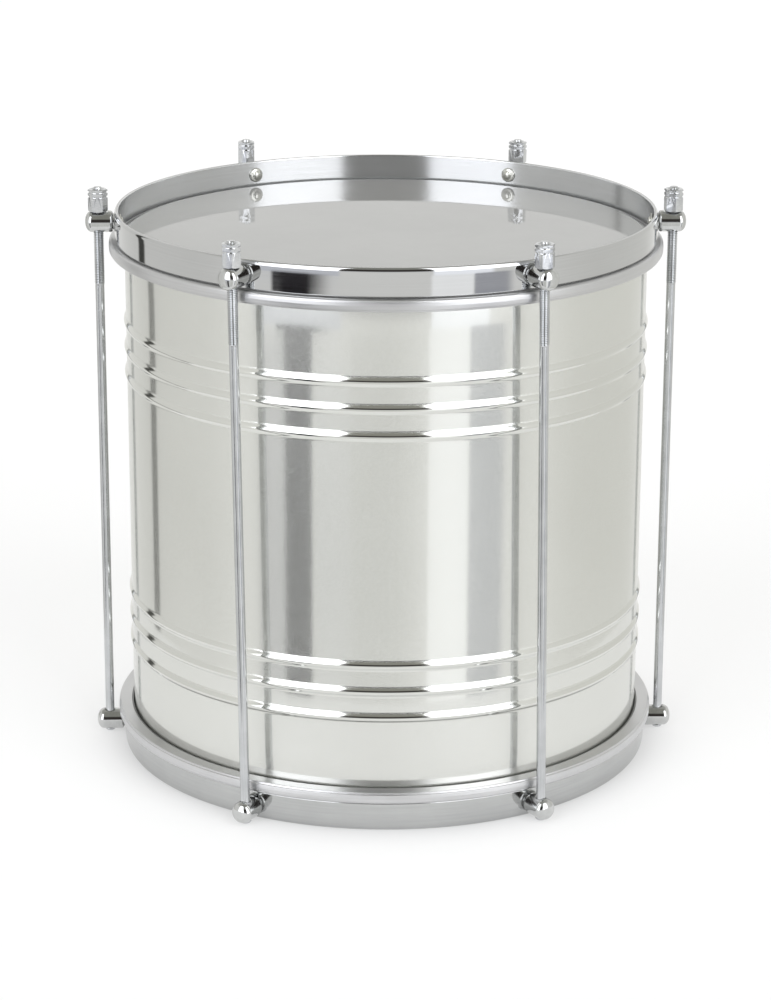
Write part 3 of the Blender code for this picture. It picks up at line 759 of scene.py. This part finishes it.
def floor_disc(name, r_in, r_out, z):
    bm = bmesh.new()
    steps = 96
    inner = [bm.verts.new((r_in * cos(TAU * j / steps), r_in * sin(TAU * j / steps), z)) for j in range(steps)] \
        if r_in else None
    outer = [bm.verts.new((r_out * cos(TAU * j / steps), r_out * sin(TAU * j / steps), z)) for j in range(steps)]
    if inner is None:
        bm.faces.new(outer)
    else:
        for j in range(steps):
            k = (j + 1) % steps
            bm.faces.new((inner[j], outer[j], outer[k], inner[k]))
    mesh = bpy.data.meshes.new(name)
    bm.to_mesh(mesh)
    bm.free()
    obj = bpy.data.objects.new(name, mesh)
    bpy.context.scene.collection.objects.link(obj)
    return obj


def floor_material():
    """White paper that glows a little so that it stays white up to the drum. Its own shadow from the lamps is
    faint, and a contact shadow is painted into the glow, which is dimmer in the last centimetres before the hoop."""
    mat = bpy.data.materials.new("studio_floor")
    mat.use_nodes = True
    bsdf = mat.node_tree.nodes["Principled BSDF"]
    bsdf.inputs["Base Color"].default_value = (0.38, 0.38, 0.38, 1.0)
    bsdf.inputs["Roughness"].default_value = 0.9
    bsdf.inputs["Specular IOR Level"].default_value = 0.1
    bsdf.inputs["Emission Color"].default_value = (1.0, 1.0, 1.0, 1.0)
    nodes, links = mat.node_tree.nodes, mat.node_tree.links
    # painted contact shadow: the floor's glow is dimmer in the last centimetres before the hoop
    value = nodes.new("ShaderNodeVectorMath")
    value.operation = "LENGTH"
    links.new(nodes.new("ShaderNodeNewGeometry").outputs["Position"], value.inputs[0])
    socket = value.outputs["Value"]
    for operation, rest in (("SUBTRACT", (0.158,)), ("DIVIDE", (-0.013,)), ("EXPONENT", ()),
                            ("MINIMUM", (1.0,)), ("MULTIPLY_ADD", (-0.22, 0.65))):
        step = nodes.new("ShaderNodeMath")
        step.operation = operation
        links.new(socket, step.inputs[0])
        for k, number in enumerate(rest):
            step.inputs[k + 1].default_value = number
        socket = step.outputs["Value"]
    links.new(socket, bsdf.inputs["Emission Strength"])
    return mat


TABLE_R = 0.345
floor_mat = floor_material()
table = floor_disc("studio_table", 0.0, TABLE_R, -0.00015)
table.data.materials.append(floor_mat)
beyond = floor_disc("studio_floor", TABLE_R, 6.0, -0.00015)
beyond.data.materials.append(floor_mat)
beyond.visible_glossy = False


def build_world():
    """A white room with two large soft boxes left and right of the camera, a
    dark gap between them over the camera, and some darker and lighter
    stretches of wall low down. Directions are azimuths in degrees from the
    camera, positive to its right, and elevations."""
    world = bpy.data.worlds.new("studio")
    bpy.context.scene.world = world
    world.use_nodes = True
    tree = world.node_tree
    tree.nodes.clear()
    n = Nodes(tree)
    direction = n.add("ShaderNodeTexCoord").outputs["Generated"]
    turned_back = n.add("ShaderNodeVectorRotate", rotation_type="Z_AXIS", Vector=direction, Angle=CAMERA_TURN)
    sep = n.add("ShaderNodeSeparateXYZ", Vector=turned_back.outputs["Vector"])
    around = n.math("MULTIPLY", n.math("ARCTAN2", sep.outputs["X"], n.math("MULTIPLY", sep.outputs["Y"], -1.0)),
                    180.0 / pi)
    height = n.math("MULTIPLY", n.math("ARCSINE", sep.outputs["Z"]), 180.0 / pi)

    def between(value, lo, hi, soft_lo, soft_hi):
        a = n.ramp(value, lo - soft_lo, lo + soft_lo)
        b = n.ramp(value, hi - soft_hi, hi + soft_hi, 1.0, 0.0)
        return n.math("MULTIPLY", a, b)

    colour = rgba((0.95, 0.95, 0.93))
    panels = (
        # left, right, their softness, low, high, their softness, colour
        (-150.0, -70.0, 22.0, 16.0, -91.0, 40.0, 1, 12, (0.83, 0.83, 0.81)),    # left side wall
        (76.0, 150.0, 22.0, 14.0, -91.0, 40.0, 1, 12, (0.82, 0.82, 0.79)),      # right side wall
        (-181.0, 181.0, 1, 1, 46.0, 91.0, 16.0, 1, (0.45, 0.45, 0.42)),         # ceiling
        (-60.0, 60.0, 4.0, 4.0, 20.0, 91.0, 4.0, 1, (0.32, 0.32, 0.29)),        # ceiling over the camera
        (-40.0, 40.0, 10.0, 10.0, -10.0, 6.0, 1.5, 3.0, (0.70, 0.70, 0.70)),    # wall behind the camera
        (-58.0, -19.0, 1.5, 0.8, -13.0, -6.5, 0.4, 1.5, (0.78, 0.80, 0.86)),    # under the left soft box
        (19.5, 45.0, 0.8, 1.5, -13.0, -6.5, 0.4, 1.5, (1.36, 1.39, 1.47)),      # under the right soft box
        (-58.0, -19.0, 1.5, 0.8, -6.5, 58.0, 1.5, 5.0, (2.90, 2.94, 3.05)),     # left soft box
        (19.5, 60.0, 0.8, 1.5, -6.5, 58.0, 1.5, 5.0, (2.95, 2.98, 3.05)),       # right soft box
        (-19.0, 19.5, 0.8, 0.8, -2.0, 30.0, 4.0, 6.0, (0.05, 0.045, 0.042)),      # gap over the camera
        (-15.0, 14.0, 0.4, 14.0, -91.0, -14.2, 1, 0.5, (0.80, 0.805, 0.785)),   # shade under the camera
        (18.7, 36.5, 0.9, 0.9, -91.0, -12.6, 1, 0.4, (1.27, 1.28, 1.29)),       # bright wall, right
        (37.0, 53.0, 0.8, 2.5, -91.0, -12.6, 1, 0.4, (0.50, 0.51, 0.54)),       # grey wall, right
        (37.0, 50.5, 0.8, 1.5, -14.2, -12.6, 0.4, 0.3, (0.48, 0.49, 0.53)),     # its darker top
        (-30.0, -15.0, 2.0, 0.4, -91.0, -14.9, 1, 0.3, (0.84, 0.845, 0.84)),    # shade, left of it
        (-57.0, -44.5, 1.5, 1.0, -91.0, -14.3, 1, 0.3, (0.68, 0.68, 0.69)),     # grey wall, left
        (-48.0, -27.0, 1.0, 6.5, -13.85, -12.6, 0.1, 0.3, (0.02, 0.018, 0.02)),  # dark flag, wide at its top
        (-44.5, -32.0, 1.8, 1.5, -91.0, -12.6, 1, 0.3, (0.02, 0.018, 0.02)),    # dark flag, left
        (-127.0, -121.5, 1.0, 1.0, -91.0, 20.0, 1, 3.0, (0.08, 0.08, 0.075)),   # dark stand, far left
    )
    for left, right, soft_l, soft_r, low, high, soft_lo, soft_hi, c in panels:
        mask = n.math("MULTIPLY", between(around, left, right, soft_l, soft_r),
                      between(height, low, high, soft_lo, soft_hi))
        colour = n.mix(mask, colour, rgba(c))
    seen = n.add("ShaderNodeLightPath").outputs["Is Camera Ray"]
    colour = n.mix(seen, colour, rgba((1.0, 1.0, 1.0)))
    background = n.add("ShaderNodeBackground", Color=colour, Strength=1.0)
    output = n.add("ShaderNodeOutputWorld")
    tree.links.new(background.outputs["Background"], output.inputs["Surface"])


build_world()


def place_camera():
    focal_px, distance, pitch = 3080.409, 1847.421 * MM, radians(17.444)
    data = bpy.data.cameras.new("camera")
    data.sensor_width = 36.0
    data.lens = 36.0 * focal_px / 1000.0
    data.clip_start, data.clip_end = 0.05, 50.0
    cam = bpy.data.objects.new("camera", data)
    bpy.context.scene.collection.objects.link(cam)
    turn = Matrix.Rotation(-CAMERA_TURN, 4, "Z")
    spot = Vector((0.238 * MM, -distance * cos(pitch), 145.97 * MM + distance * sin(pitch)))
    cam.matrix_world = (turn @ Matrix.Translation(spot) @ Matrix.Rotation(pi / 2 - pitch, 4, "X")
                        @ Matrix.Rotation(radians(0.22), 4, "Z"))
    bpy.context.scene.camera = cam


place_camera()
bpy.context.scene.view_settings.view_transform = "Standard"
